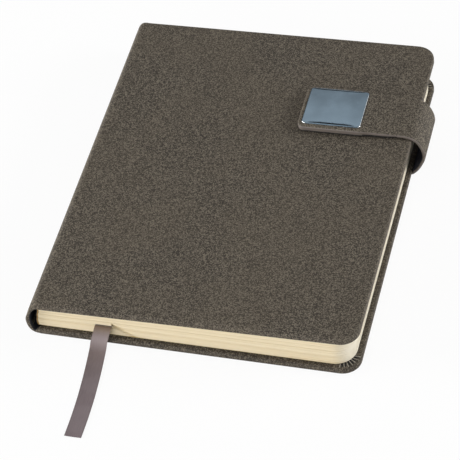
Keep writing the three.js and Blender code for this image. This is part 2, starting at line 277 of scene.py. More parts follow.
def leather_finish(name, colours, lighter=0.0):
    """Sandy leatherette: a fine grain of dark and light specks on a slightly clouded ground."""
    finish = Finish(name)
    clouds = finish.noise(mm(34), 2.0)
    grain = finish.noise(mm(0.42), 2.0, 0.75)
    specks = finish.grains(mm(0.5), (0.4, 0.9, 0.2))
    sand = grain * 0.6 + specks * 0.3 + 0.05
    light = (sand - 0.5) * 4.6 + (clouds - 0.5) * 0.22 + 0.34 + lighter
    colour = finish.mix(light.between(0.0, 1.0), colours.leather_dark, colours.leather_light)
    colour = finish.mix(clouds.between(0.35, 0.65) * 0.16, colour, colours.leather)
    return finish.shade(
        Base_Color=colour,
        Roughness=0.66 + 0.16 * specks,
        Specular_IOR_Level=0.3,
        Normal=finish.bump(sand, mm(0.2), 0.8),
    )


def edge_paint_finish(colours):
    finish = Finish("edge_paint")
    ripple = finish.noise(mm(3.5), 2.0)
    pores = finish.noise(mm(0.35), 2.0)
    return finish.shade(
        Base_Color=finish.mix(ripple.between(0.3, 0.7) * 0.35, colours.edge_paint,
                              colours.leather_light),
        Roughness=0.34 + 0.12 * pores,
        Normal=finish.bump(ripple * 0.7 + pores * 0.3, mm(0.12), 0.5),
    )


def mottled_finish(name, noise, span, low, high, rough, relief, **constants):
    """Two colours that a noise mixes, with the same noise in the roughness and the relief.

    noise holds the numbers for Finish.noise, span the values between which it mixes, rough the
    roughness and how much the noise adds to it, and relief the bump's depth and strength.
    """
    finish = Finish(name)
    marks = finish.noise(*noise)
    return finish.shade(
        Base_Color=finish.mix(marks.between(*span) if span else marks,
                              linear(*low), linear(*high)),
        Roughness=rough[0] + rough[1] * marks,
        Normal=finish.bump(marks, *relief),
        **constants,
    )


def lining_finish(name, base):
    """Closely woven dark cloth."""
    finish = Finish(name)
    warp = finish.noise(mm(0.35), 1.0, 0.5, (1, 0.15, 1))
    weft = finish.noise(mm(0.35), 1.0, 0.5, (0.15, 1, 0.15))
    weave = warp * 0.5 + weft * 0.5
    darker = tuple(channel * 0.55 for channel in base[:3]) + (1.0,)
    return finish.shade(
        Base_Color=finish.mix(weave.between(0.35, 0.65), darker, base),
        Roughness=0.85,
        Normal=finish.bump(weave, mm(0.08), 0.7),
    )


def paper_finish(name, base, shade):
    """Uncoated paper with the faint lines of its leaves, painted whiter towards the fore-edge as
    the light falling there.
    """
    finish = Finish(name)
    leaves = finish.noise(mm(0.2), 2.0, 0.55, (0.012, 0.012, 1))
    bundles = finish.noise(mm(0.9), 1.0, 0.5, (0.012, 0.012, 1))
    fibres = finish.noise(mm(0.5), 3.0, 0.6)
    up = (finish.axis("Z") - mm(3.9)) / mm(15.5)
    outer_leaves = up.between(0.78, 0.95) + (1 - up.between(0.04, 0.22))
    lines = leaves.between(0.55, 0.75) * 0.12 + bundles.between(0.6, 0.66) * (
        0.1 + 0.55 * outer_leaves)
    colour = finish.mix(lines, base, shade)
    # Painted light: the paper is whitened towards the fore-edge, where the light falls
    fore = finish.axis("X").between(mm(67), mm(78))
    colour = finish.mix(fore * 0.8, colour, linear(236, 232, 220))
    return finish.shade(
        Base_Color=finish.mix(fibres * 0.05, colour, shade),
        Roughness=0.88,
        Specular_IOR_Level=0.2,
        Normal=finish.bump(leaves * 0.7 + fibres * 0.3, mm(0.05), 0.5),
    )


def endpaper_finish():
    finish = Finish("endpaper")
    fibres = finish.noise(mm(0.4), 3.0, 0.65)
    laid = finish.noise(mm(1.1), 1.0, 0.5, (0.02, 1, 1))
    return finish.shade(
        Base_Color=finish.mix(
            fibres * 0.6 + laid * 0.4, linear(228, 208, 160), linear(210, 184, 128)
        ),
        Roughness=0.82,
        Specular_IOR_Level=0.25,
        Normal=finish.bump(fibres, mm(0.05), 0.6),
    )


def board_finish():
    """Grey recycled board with dark flecks."""
    finish = Finish("greyboard")
    flecks = finish.noise(mm(0.8), 3.0, 0.7)
    return finish.shade(
        Base_Color=finish.mix(
            flecks.between(0.4, 0.75), linear(146, 140, 129), linear(98, 92, 84)
        ),
        Roughness=0.9,
        Normal=finish.bump(finish.noise(mm(0.3), 2.0), mm(0.08), 0.7),
    )


def glue_finish():
    finish = Finish("binding_glue")
    runs = finish.noise(mm(2.2), 2.0)
    gauze = finish.noise(mm(0.7), 1.0, 0.5, (1, 1, 0.4))
    return finish.shade(
        Base_Color=finish.mix(
            runs.between(0.3, 0.7), linear(58, 42, 30), linear(112, 84, 48)
        ),
        Roughness=0.45 + 0.3 * runs,
        Normal=finish.bump(gauze, mm(0.15), 0.8),
    )


def band_finish():
    """Silk wrapped round the head band's core in turns of two colours."""
    finish = Finish("band_silk")
    turns = finish.node(
        "ShaderNodeTexWave", {"wave_type": "BANDS", "bands_direction": "Z"},
        {"Vector": finish.place(), "Scale": 1 / mm(3.4), "Distortion": 0.4, "Detail": 1.0},
    )
    turn = Value(finish, turns.outputs["Fac"])
    return finish.shade(
        Base_Color=finish.mix(
            turn.between(0.35, 0.65), linear(188, 146, 66), linear(120, 88, 40)
        ),
        Roughness=0.5,
        Normal=finish.bump(turn, mm(0.12), 0.9),
    )


def ribbon_finish(colours):
    """Satin: fine ribs, a firmer selvedge, patches of painted sheen, painted light along its fall,
    and a brown painted shade where it leaves the pages.
    """
    finish = Finish("ribbon_satin")
    uv = finish.node("ShaderNodeUVMap", {"uv_map": "ribbon"}).outputs[0]
    across, along = finish.part(uv, "X"), finish.part(uv, "Y")
    warp = finish.noise(mm(0.28), 1.0, 0.5, (1, 0.05, 0.05))
    weft = finish.noise(mm(0.4), 1.0, 0.5, (0.08, 1, 1))
    folds = finish.noise(mm(9), 1.0, 0.4, (0.5, 1, 1))
    selvedge = (1 - across.between(0.0, 0.09)) + across.between(0.91, 1.0)
    # Brown painted shade where the ribbon leaves the pages
    painted_shade_near_pages = 1 - along.between(0.08, 0.24)
    # Painted light along the ribbon's fall
    lit = along.between(0.1, 0.24) * (1 - along.between(0.36, 0.62))
    colour = finish.mix(warp.between(0.35, 0.65) * 0.35, colours.ribbon, linear(96, 84, 88))
    # Lighter patches painted as sheen on the satin's folds
    colour = finish.mix(folds.between(0.45, 0.65) * 0.25, colour, linear(134, 124, 126))
    colour = finish.mix(selvedge * 0.55, colour, linear(92, 80, 80))
    colour = finish.mix(lit * 0.6, colour, linear(140, 126, 124))
    colour = finish.mix(painted_shade_near_pages * 0.8, colour, linear(110, 90, 70))
    return finish.shade(
        Base_Color=colour,
        Roughness=0.42 + 0.15 * warp,
        Specular_IOR_Level=0.4,
        Normal=finish.bump(warp * 0.6 + weft * 0.4, mm(0.06), 0.7),
    )


def plate_finish(name, colours, level=1.0):
    """Polished gunmetal plating with a faint ripple and some haze, its colour painted paler
    towards the tail and along the ripple as reflection.
    """
    finish = Finish(name)
    ripple = finish.noise(mm(11), 1.0, 0.4)
    haze = finish.noise(mm(7), 3.0, 0.6)
    towards_tail = (STRAP_Y - finish.axis("Y")) / mm(26) + 0.5
    deep, pale, hazy = (
        tuple(channel * share * level for channel in colours.plate[:3]) + (1.0,)
        for share in (0.71, 1.2, 1.45)
    )
    # Painted reflection: paler towards the tail and along the ripple
    reflection_tone = towards_tail * 0.9 + (ripple - 0.5) * 0.9
    base = finish.mix(reflection_tone.between(-0.1, 1.0), deep, pale)
    return finish.shade(
        Base_Color=finish.mix(haze.between(0.4, 0.75) * 0.2, base, hazy),
        Metallic=1.0,
        Roughness=0.07 + 0.07 * haze,
        Normal=finish.bump(ripple, mm(0.5), 0.35),
    )


FINISHES = {}


def make_finishes(colours):
    FINISHES.update(
        leather=leather_finish("leatherette", colours),
        # The strap's copy of the leatherette, painted a little lighter as the light on the raised
        # strap
        strap_leather=leather_finish("strap_leatherette_painted_light", colours, 0.06),
        # The back cover's copy of the leatherette, painted darker as shade
        back_leather=leather_finish("back_leatherette_painted_shade", colours, -0.14),
        edge=edge_paint_finish(colours),
        lining=lining_finish("dark_lining", colours.lining),
        # Near black, painted as the shade in the corners' creases and as the shadow under the
        # strap tip's sides
        crease=lining_finish("leather_crease", linear(12, 11, 10)),
        # The crests of the gathered leather, painted pale as highlight
        crest=mottled_finish(
            "fold_crest_painted_highlight", (mm(0.7), 2.0, 0.6), (0.3, 0.7), (128, 120, 108),
            (190, 184, 172), (0.5, 0.2), (mm(0.05), 0.5),
        ),
        strap_lining=lining_finish("strap_lining", linear(54, 56, 72)),
        greyboard=board_finish(),
        paper=paper_finish("paper", colours.paper, linear(214, 188, 134)),
        endpaper=endpaper_finish(),
        glue=glue_finish(),
        gauze=lining_finish("backing_gauze", linear(30, 28, 32)),
        band=band_finish(),
        ribbon=ribbon_finish(colours),
        ribbon_inner=lining_finish("ribbon_inside", colours.ribbon),
        plate=plate_finish("plate_metal", colours),
        # A darker copy of the plate's metal, painted shade on the bevel along the tail
        plate_shade=plate_finish("plate_shade", colours, 0.4),
        # The plate's bevel, painted a brighter silver as highlight
        plate_edge=mottled_finish(
            "plate_bevel_painted_highlight", (mm(1.6), 3.0, 0.65), (0.35, 0.65), (150, 158, 168),
            (224, 224, 222), (0.12, 0.1), (mm(0.05), 0.4), Metallic=1.0,
        ),
        magnet=mottled_finish(
            "magnet_steel", (mm(0.3), 2.0, 0.6, (0.05, 1, 1)), None, (140, 141, 145),
            (170, 170, 172), (0.3, 0.15), (mm(0.05), 0.4), Metallic=1.0,
        ),
    )


# Modelling by hand in edit mode

NEAR = 1e-6
WELD = 1e-7


def alone(piece):
    """Leaves one piece selected and active."""
    bpy.ops.object.select_all(action="DESELECT")
    piece.select_set(True)
    bpy.context.view_layer.objects.active = piece


class Editing:
    """Edit mode on one piece, with its elements picked by place."""

    def __init__(self, piece):
        self.piece = piece

    def __enter__(self):
        alone(self.piece)
        bpy.ops.object.mode_set(mode="EDIT")
        return self

    def __exit__(self, *problem):
        bpy.ops.object.mode_set(mode="OBJECT")

    def pick(self, kind, test):
        bpy.ops.mesh.select_mode(type=kind)
        bpy.ops.mesh.select_all(action="DESELECT")
        shape = bmesh.from_edit_mesh(self.piece.data)
        items = {"VERT": shape.verts, "EDGE": shape.edges, "FACE": shape.faces}[kind]
        found = [item for item in items if test(item)]
        if not found:
            raise RuntimeError(f"{self.piece.name}: nothing to pick")
        for item in found:
            item.select_set(True)
        shape.select_flush_mode()
        bmesh.update_edit_mesh(self.piece.data)

    def everything(self):
        bpy.ops.mesh.select_all(action="SELECT")

    def bevel(self, offset, segments):
        bpy.ops.mesh.bevel(
            offset=offset, segments=segments, affect="EDGES", profile=0.5, clamp_overlap=False
        )

    def slice(self, point, normal):
        self.everything()
        bpy.ops.mesh.bisect(plane_co=point, plane_no=normal)


def primitive(name, add, **settings):
    """A new primitive, the start of a piece, alone selected."""
    bpy.ops.object.select_all(action="DESELECT")
    add(**settings)
    piece = bpy.context.active_object
    piece.name = piece.data.name = name
    return piece


def cut_across(piece, axis, places):
    """Cuts edges all round a piece at each of the places along one axis, 0 to 2."""
    with Editing(piece) as edit:
        for place in places:
            point, normal = [0, 0, 0], [0, 0, 0]
            point[axis], normal[axis] = place, 1
            edit.slice(point, normal)


def box(name, low, high):
    """A block between two corners."""
    low, high = Vector(low), Vector(high)
    piece = primitive(name, bpy.ops.mesh.primitive_cube_add, size=1, location=(low + high) / 2)
    piece.scale = high - low
    bpy.ops.object.transform_apply(location=True, rotation=True, scale=True)
    return piece


def upright(edge):
    """Whether an edge runs along Z."""
    a, b = (vertex.co for vertex in edge.verts)
    return abs(a.x - b.x) < NEAR and abs(a.y - b.y) < NEAR


def level_at(edge, height):
    return all(abs(vertex.co.z - height) < NEAR for vertex in edge.verts)


def rounded_block(name, low, high, corner, corners=(1, 1), steps=10):
    """A block whose upright edges are rounded at its -X end, its +X end or both."""
    piece = box(name, low, high)
    middle = (low[0] + high[0]) / 2
    with Editing(piece) as edit:
        edit.pick("EDGE", lambda edge: upright(edge) and (
            corners[0] if edge.verts[0].co.x < middle else corners[1]))
        edit.bevel(corner, steps)
    return piece


def carve(piece, cutter):
    """Cuts the cutter out of the piece, and removes the cutter."""
    alone(piece)
    modifier = piece.modifiers.new("carve", "BOOLEAN")
    modifier.operation, modifier.object, modifier.solver = "DIFFERENCE", cutter, "EXACT"
    bpy.ops.object.modifier_apply(modifier=modifier.name)
    bpy.data.objects.remove(cutter)


def clean(piece):
    """Welds what lies together and turns the faces outwards."""
    with Editing(piece) as edit:
        edit.everything()
        bpy.ops.mesh.remove_doubles(threshold=WELD)
        bpy.ops.mesh.normals_make_consistent(inside=False)


def smooth(piece, degrees=40):
    alone(piece)
    bpy.ops.object.shade_smooth_by_angle(angle=math.radians(degrees))


def join(pieces, name):
    """Joins pieces into the first one."""
    bpy.ops.object.select_all(action="DESELECT")
    for piece in pieces:
        piece.select_set(True)
    bpy.context.view_layer.objects.active = pieces[0]
    bpy.ops.object.join()
    pieces[0].name = pieces[0].data.name = name
    return pieces[0]


def copy_of(piece, name):
    """A copy with its own mesh."""
    double = piece.copy()
    double.data = piece.data.copy()
    double.name = double.data.name = name
    bpy.context.collection.objects.link(double)
    return double


def coat(piece, *finishes):
    piece.data.materials.clear()
    for finish in finishes:
        piece.data.materials.append(FINISHES[finish])


def coat_faces(piece, index, test):
    for face in piece.data.polygons:
        if test(face):
            face.material_index = index


def onto_front(piece):
    """Turns a piece drawn flat, with the front cover's outer face at z = 0, into its place."""
    place = (
        Matrix.Translation((SPINE_X, 0, SPINE_TOP))
        @ Matrix.Rotation(-TILT, 4, "Y")
        @ Matrix.Translation((-SPINE_X, 0, 0))
    )
    piece.data.transform(place)


def front_point(x, z):
    """The place of a point of the flat drawing of the front cover."""
    dx = x - SPINE_X
    return (
        SPINE_X + dx * math.cos(TILT) - z * math.sin(TILT),
        SPINE_TOP + dx * math.sin(TILT) + z * math.cos(TILT),
    )


def sheet_along(name, points, low_y, high_y):
    """A sheet that starts as one strip between the first two points (x, z) and is extruded on."""
    (x0, z0), (x1, z1) = points[:2]
    piece = primitive(name, bpy.ops.mesh.primitive_plane_add, size=1, location=(0, 0, 0))
    for vertex in piece.data.vertices:
        start = vertex.co.x < 0
        vertex.co = (
            x0 if start else x1, low_y if vertex.co.y < 0 else high_y, z0 if start else z1
        )
    with Editing(piece) as edit:
        edit.pick("VERT", lambda v: abs(v.co.x - x1) < WELD and abs(v.co.z - z1) < WELD)
        for (xa, za), (xb, zb) in zip(points[1:], points[2:]):
            bpy.ops.mesh.extrude_edges_move(
                TRANSFORM_OT_translate={"value": (xb - xa, 0, zb - za)}
            )
    return piece


def thicken(piece, thickness, side=-1):
    """Gives a sheet its thickness, to the side its faces point to (1) or away from it (-1)."""
    alone(piece)
    modifier = piece.modifiers.new("thicken", "SOLIDIFY")
    modifier.thickness, modifier.offset = thickness, side
    modifier.use_even_offset = True
    bpy.ops.object.modifier_apply(modifier=modifier.name)


def bezier(points, steps):
    """Points (x, z) along a cubic curve, without the first one."""
    curve = []
    for step in range(1, steps + 1):
        t = step / steps
        shares = ((1 - t) ** 3, 3 * t * (1 - t) ** 2, 3 * t * t * (1 - t), t ** 3)
        curve.append(tuple(
            sum(share * point[axis] for share, point in zip(shares, points))
            for axis in (0, 1)
        ))
    return curve


def evenly(points, count):
    """The same line as a run of points at equal distances."""
    lengths = [math.dist(a, b) for a, b in zip(points, points[1:])]
    whole, places = sum(lengths), []
    for step in range(count):
        left = whole * step / (count - 1)
        index = 0
        while index < len(lengths) - 1 and left > lengths[index]:
            left -= lengths[index]
            index += 1
        share = min(1, left / lengths[index])
        (xa, za), (xb, zb) = points[index], points[index + 1]
        places.append((xa + (xb - xa) * share, za + (zb - za) * share))
    return places


def smooth_route(points, steps):
    """Points on one smooth curve through the given points."""
    points = [Vector(point) for point in points]
    ends = [2 * points[0] - points[1], *points, 2 * points[-1] - points[-2]]
    route = []
    for a, b, c, d in zip(ends, ends[1:], ends[2:], ends[3:]):
        for step in range(steps):
            t = step / steps
            route.append(0.5 * (
                2 * b + (c - a) * t + (2 * a - 5 * b + 4 * c - d) * t ** 2
                + (3 * b - a - 3 * c + d) * t ** 3
            ))
    return [*route, points[-1]]


def nearest(line, x, z):
    return min(range(len(line)), key=lambda i: math.dist(line[i], (x, z)))


def two_faced(name, outer, low_y, high_y, cuts, middle, inner_place):
    """A sheet along the outer line, closed by an inner face whose points are placed one by one.

    Its faces point away from the middle (x, z). inner_place takes the number of a point of the
    line and a height y, and gives the inner (x, z).
    """
    piece = sheet_along(name, outer, low_y, high_y)
    cut_across(piece, 1, cuts)
    face = piece.data.polygons[0]
    if face.normal.dot(face.center - Vector((middle[0], face.center.y, middle[1]))) < 0:
        with Editing(piece) as edit:
            edit.everything()
            bpy.ops.mesh.flip_normals()
    places = [
        inner_place(nearest(outer, vertex.co.x, vertex.co.z), vertex.co.y)
        for vertex in piece.data.vertices
    ]
    thicken(piece, mm(1), -1)
    for index, (x, z) in enumerate(places):
        vertex = piece.data.vertices[index + len(places)]
        vertex.co = (x, vertex.co.y, z)
    return piece


def end_edges(line, middle, half):
    """A test for the edges at both ends, half away from a middle y, along a line of (x, z)."""
    places = {(round(px, 6), round(pz, 6)) for px, pz in line}

    def test(edge):
        return all(
            abs(abs(v.co.y - middle) - half) < NEAR
            and (round(v.co.x, 6), round(v.co.z, 6)) in places
            for v in edge.verts
        )

    return test


# Covers

CORNER = mm(9.5)
CORNER_MIDDLE = (mm(71.5), mm(95.5))
TURN_IN = mm(14)
STRIP_SEAM = mm(-78.9)
FRONT_DEPTH = mm(3.85)
STRIP_THICK = mm(1.2)
RIM_DEPTH = mm(2.1)
INNER_ROUND = mm(0.6)


def wedge(name, inner, outer):
    """A low wedge along X between two ends, each given as (x, width, height)."""
    (x0, width, height), (x1, end_width, end_height) = inner, outer
    piece = box(name, (x0, -width / 2, 0), (x1, width / 2, height))
    with Editing(piece) as edit:
        edit.pick("VERT", lambda v: v.co.x > (x0 + x1) / 2)
        bpy.ops.transform.resize(
            value=(1, end_width / width, end_height / height), center_override=(0, 0, 0)
        )
        edit.pick("EDGE", lambda edge: all(v.co.z > NEAR for v in edge.verts)
                  and abs(edge.verts[0].co.x - edge.verts[1].co.x) > mm(1))
        edit.bevel(min(end_width, width) * 0.42, 3)
    return piece


def pleats(centre, level, count, towards, up, seed):
    """The gathered leather in a corner: ridges that fan out, their crests painted pale as
    highlight, with creases between them painted near black as shade.
    """
    chance = random.Random(seed)
    made = []
    step = math.pi / 2 / count
    for index in range(2 * count + 1):
        crease = index % 2 == 1
        if crease:
            fold = wedge("crease", (mm(4.2), step * mm(6.4), mm(0.16)),
                         (mm(chance.uniform(7.6, 8.8)), mm(0.3), mm(0.07)))
            coat(fold, "crease")
        else:
            fold = wedge("crest", (mm(4), mm(0.36), mm(chance.uniform(0.4, 0.65))),
                         (mm(chance.uniform(8, 9)), mm(0.22), mm(0.2)))
            coat(fold, "crest")
        angle = towards + step * (index / 2 + chance.uniform(-0.1, 0.1))
        sunk = Matrix.Translation((0, 0, -mm(0.04)))
        fold.data.transform(
            Matrix.Translation((*centre, level)) @ Matrix.Rotation(angle, 4, "Z")
            @ Matrix.Scale(up, 4, (0, 0, 1)) @ sunk
        )
        if up < 0:
            clean(fold)
        made.append(fold)
    piece = join(made, "folds")
    smooth(piece, 50)
    return piece


def corner_folds(level, count, up, seeds):
    """The folds in both corners of a cover's fore-edge, the tail's first."""
    x, y = CORNER_MIDDLE
    return [
        pleats((x, -y), level, count, -math.pi / 2, up, seeds[0]),
        pleats((x, y), level, count, 0, up, seeds[1]),
    ]


def widen_at_head(piece, amount, headward=0.0):
    """Lets the fore-edge stand out a little more near the head, as the used cover does."""
    for vertex in piece.data.vertices:
        rise = min(1, max(0, (vertex.co.y - mm(62)) / mm(26)))
        share = min(1, max(0, (vertex.co.x - mm(45)) / mm(33)))
        vertex.co.x += amount * share * rise * rise * (3 - 2 * rise)
        vertex.co.y += headward * share * rise


def round_outline(piece, height, offset, keep_from=None, steps=4):
    """Bevels the outline at one height, except the edge at x = keep_from."""
    with Editing(piece) as edit:
        edit.pick("EDGE", lambda edge: level_at(edge, height) and len(edge.link_faces) == 2
                  and abs(edge.calc_face_angle(0)) > 0.5
                  and not (keep_from is not None
                           and all(abs(v.co.x - keep_from) < NEAR for v in edge.verts)))
        edit.bevel(offset, steps)


def cover_block(name, start, low, high, outlines):
    """A cover's leather before it is carved, with each outline given as (height, rounding)."""
    piece = rounded_block(
        name, (start, -HALF_HEIGHT, low), (FORE_X, HALF_HEIGHT, high), CORNER, (0, 1), 14
    )
    for height, rounding in outlines:
        round_outline(piece, height, rounding, start)
    return piece


def window(start, low, high):
    """The cutter for the pastedown's window between the turn-ins."""
    return box("window", (start + TURN_IN, -HALF_HEIGHT + TURN_IN, low),
               (FORE_X - TURN_IN, HALF_HEIGHT - TURN_IN, high))


def back_leather(sizes):
    """The back cover's leather, with the recess for the strap's tab and the pastedown's window."""
    start = SPINE_X + mm(0.2)
    piece = cover_block("back_leather", start, 0, COVER,
                        ((0, INNER_ROUND), (COVER, sizes.edge_round)))
    carve(piece, box(
        "recess", (mm(42.8), STRAP_Y - STRAP_HALF - mm(0.2), mm(-1)),
        (mm(82), STRAP_Y + STRAP_HALF + mm(0.2), mm(1.2)),
    ))
    carve(piece, window(start, COVER - mm(0.5), COVER + mm(1)))
    folds = corner_folds(COVER, sizes.pleats, 1, (3, 5))
    smooth(piece)
    # The back cover's leatherette is the darker copy, painted shade
    coat(piece, "back_leather")
    piece = join([piece, *folds], "back_leather")
    widen_at_head(piece, mm(0.4), mm(0.7))
    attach(piece, "back_cover")
    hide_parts("back_skin")


def front_leather(sizes):
    """The front cover's leather and half of the joint strip, drawn flat with the top at z = 0."""
    board_x = SPINE_X + mm(4.9)
    piece = cover_block("front_leather", STRIP_SEAM, -FRONT_DEPTH, 0,
                        ((0, sizes.edge_round), (-FRONT_DEPTH, mm(0.3))))
    carve(piece, box(
        "joint", (STRIP_SEAM - mm(1), RIM_DEPTH - HALF_HEIGHT, -FRONT_DEPTH - mm(1)),
        (board_x, HALF_HEIGHT - RIM_DEPTH, -STRIP_THICK),
    ))
    carve(piece, window(board_x, -FRONT_DEPTH - mm(1), -FRONT_DEPTH + mm(0.5)))
    cut_across(piece, 0, [mm(-77.7 + 0.45 * step) for step in range(7)])
    folds = corner_folds(-FRONT_DEPTH, sizes.pleats, -1, (7, 11))
    smooth(piece)
    coat(piece, "leather")
    piece = join([piece, *folds], "front_leather")
    widen_at_head(piece, mm(0.9))
    onto_front(piece)
    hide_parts("front_skin", "joint_skin")
    mm(-77.7)
    mm(-75.0)
    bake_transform(piece)


def out_of_spine(*pairs):
    """Points given as how far they stand out of the spine's plane and their height, in mm."""
    return [(SPINE_X - mm(out), mm(height)) for out, height in pairs]


LOW_HALF = out_of_spine((0.3, 0), (4.2, 0), (6.5, 3.1), (6.5, 9))
SIDE = out_of_spine((6.5, 9), (6.5, 10.3), (5.95, 11.56), (5.37, 13))
SHOULDER = out_of_spine((5.37, 13), (3.8, 17), (2.9, 22), (-1, 22))


def spine_half(name, outer, rim, sizes):
    """Half of the spine's leather: a thin skin whose ends are turned in to a thick rolled rim."""
    outer, rim = evenly(outer, 30), evenly(rim, 30)
    turn = HALF_HEIGHT - RIM_DEPTH
    nick_x = mm(-83.3)

    def inner_place(column, y):
        (x0, z0), (x1, z1) = outer[column], rim[column]
        if abs(y) > turn - mm(0.1):
            return x1, z1
        reach = min(1, mm(1.2) / math.dist((x0, z0), (x1, z1)))
        return x0 + (x1 - x0) * reach, z0 + (z1 - z0) * reach

    piece = two_faced(
        name, outer, -HALF_HEIGHT, HALF_HEIGHT, (turn, turn - mm(0.3), -turn, mm(0.3) - turn),
        (SPINE_X + mm(8), SPINE_TOP / 2), inner_place,
    )
    with Editing(piece) as edit:
        edit.pick("EDGE", end_edges(outer, 0, HALF_HEIGHT))
        edit.bevel(sizes.edge_round * 0.8, 4)
        edit.pick("EDGE", end_edges(rim, 0, HALF_HEIGHT))
        edit.bevel(mm(0.4), 3)
        for side in (-1, 1):
            edit.slice((nick_x, side * HALF_HEIGHT, 0), (1, side, 0))
    smooth(piece, 50)
    coat(piece, "leather", "lining")

    def lined(face):
        x, y, z = face.center
        column = nearest(rim, x, z)
        near = math.dist(rim[column], (x, z)) < mm(0.9) < math.dist(outer[column], (x, z))
        past_end = abs(y) - HALF_HEIGHT
        turned_in = past_end > -RIM_DEPTH and past_end + x - nick_x > 0 and z < mm(4.5)
        return near and abs(face.normal.y) < 0.85 and not turned_in

    coat_faces(piece, 1, lined)
    return piece


def spine_cloth(name, line):
    """The dark lining that shows inside the hollow of the spine."""
    piece = sheet_along(name, evenly(line, 24), -HALF_HEIGHT + mm(2), HALF_HEIGHT - mm(2))
    thicken(piece, mm(0.2), 0)
    smooth(piece)
    coat(piece, "lining")
    return piece


def spine_leather(sizes):
    """The spine in two halves that meet at its belly, and the cloth that lines it."""
    low = [(SPINE_X + mm(0.2), 0), LOW_HALF[0], *bezier(LOW_HALF, 24)]
    high = [
        SIDE[0], *bezier(SIDE, 10), *bezier(SHOULDER, 20), front_point(STRIP_SEAM, 0)
    ]
    low_rim = [(SPINE_X + mm(0.2), COVER), *out_of_spine(
        (0.6, 3.2), (2, 2.2), (2.7, 2.6), (3.5, 4.4), (3.95, 6.7), (4.1, 9))]
    high_rim = [*out_of_spine(
        (4.1, 9), (4, 10.8), (3.75, 12.4), (3.3, 14), (2.3, 15.9), (0.9, 17.6)),
        front_point(SPINE_X + mm(0.4), -FRONT_DEPTH), front_point(STRIP_SEAM, -FRONT_DEPTH)]
    lower = spine_half("spine_leather_lower", low, low_rim, sizes)
    upper = spine_half("spine_leather_upper", high, high_rim, sizes)
    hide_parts("spine_skin", "spine_stiffener")
    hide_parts("spine_skin", "spine_stiffener")
    mm(-80.4)
    mm(-84)
    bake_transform(lower)
    mm(-84)
    mm(-79.6)
    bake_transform(upper)
    inside = out_of_spine(
        (0.2, 1.9), (2.4, 1.9), (4.3, 3), (5, 5.2), (5.2, 8.5), (4.9, 11.3), (3.6, 15),
        (2.2, 18.4), (0.8, 20.2))
    lining = spine_cloth("spine_lining_cloth", inside)
    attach(lining, "spine")
    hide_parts("spine_lining")


# Text block

LOWER_FLOOR = COVER + mm(0.45)
LOWER_TOP = mm(9.48)
UPPER_FLOOR = mm(9.6)


def under_front(x):
    """Height of the topmost leaf's upper face under the front cover."""
    return front_point(x, 0)[1] - (COVER + mm(0.4)) - mm(0.35)


BACK_LINE = (
    (3.8, -80.9), (4.1, -81.5), (6, -81.9), (8.1, -81.85), (9.47, -81.45), (9.6, -81.45),
    (11.6, -81.35), (12.6, -80.95), (13.2, -80.8), (14.2, -80.6), (18, -80.2),
)


def back_at(z):
    """Where the rounded back of the leaves stands at a height."""
    height = min(max(z * 1000, BACK_LINE[0][0]), BACK_LINE[-1][0])
    for (za, xa), (zb, xb) in zip(BACK_LINE, BACK_LINE[1:]):
        if height <= zb:
            return mm(xa + (xb - xa) * (height - za) / (zb - za))
    return mm(BACK_LINE[-1][1])


PARTING_X = mm(-43.4)
PARTING_HEIGHT = mm(3.6)


def parting(x, z):
    """How far the leaves beside the ribbon draw back from the tail, above a slanting line."""
    beside = x - PARTING_X
    line = mm(9.7) - beside * 0.58
    if beside < 0 or not line < z < line + PARTING_HEIGHT:
        return 0.0
    fade = 1 - (z - line) / PARTING_HEIGHT
    return mm(1.3) * fade ** 1.4 * max(0.0, 1 - beside / mm(19)) ** 0.8


def leaf_pattern():
    """One leaf: a thin plate with rounded corners at the fore-edge, its faces at z = 0 and 1."""
    piece = rounded_block(
        "leaf", (BLOCK_BACK, TAIL_Y, 0), (BLOCK_FORE, -TAIL_Y, 1), mm(10.4), (0, 1), 10
    )
    cut_across(piece, 0, [mm(x) for x in (
        -72, -54, -51, -43.5, -43.3, -41.5, -40, -38.5, -37, -35.5, -33, -30, -25)])
    return piece


def ribbon_bulge(x, y):
    """How far the ribbon lifts the pages above it: its own width, then a slope on each side."""
    middle = mm(-47.5) + (y - TAIL_Y) / (2 * -TAIL_Y) * mm(-24)
    past = abs(x - middle) - mm(4.3)
    if past <= 0:
        return mm(0.5)
    if x < middle:
        return mm(0.5) * max(0.0, 1 - past / mm(3))
    return mm(0.5) * max(0.0, 1 - past / mm(14)) ** 1.6


def half_block(name, pattern, signatures, sizes, floor, top, lifted, seed):
    """Signatures of single leaves between two heights, each height a function of x."""
    chance = random.Random(seed)
    made = []
    count = signatures * sizes.leaves
    wide_gap, thin_gap = 0.10, 0.02
    for index in range(count):
        place = index % sizes.leaves
        nest = 2 * (place + 0.5) / sizes.leaves - 1
        fold = mm(0.3) * (1 - math.sqrt(max(0.0, 1 - nest * nest)))
        gap_low = wide_gap if place == 0 else thin_gap
        gap_high = wide_gap if place == sizes.leaves - 1 else thin_gap
        low, high = (index + gap_low) / count, (index + 1 - gap_high) / count
        reach = chance.gauss(0, 1) * sizes.page_jitter
        slide = chance.gauss(0, 1) * sizes.page_jitter * 0.8
        leaf = copy_of(pattern, "leaf")
        for vertex in leaf.data.vertices:
            x, y, level = vertex.co
            share = low if level < 0.5 else high
            z = floor(x) + (top(x) - floor(x)) * share
            if lifted:
                z += ribbon_bulge(x, y) * (1 - share) ** 3
            if y < 0:
                y += parting(x, z)
            if x < BLOCK_BACK + NEAR:
                x = back_at(z) + fold
            else:
                x += reach * (x - BLOCK_BACK) / mm(158)
            vertex.co = (x, y + slide, z)
        made.append(leaf)
    piece = join(made, name)
    widen_at_head(piece, mm(0.8))
    smooth(piece, 30)
    coat(piece, "paper")
    return piece


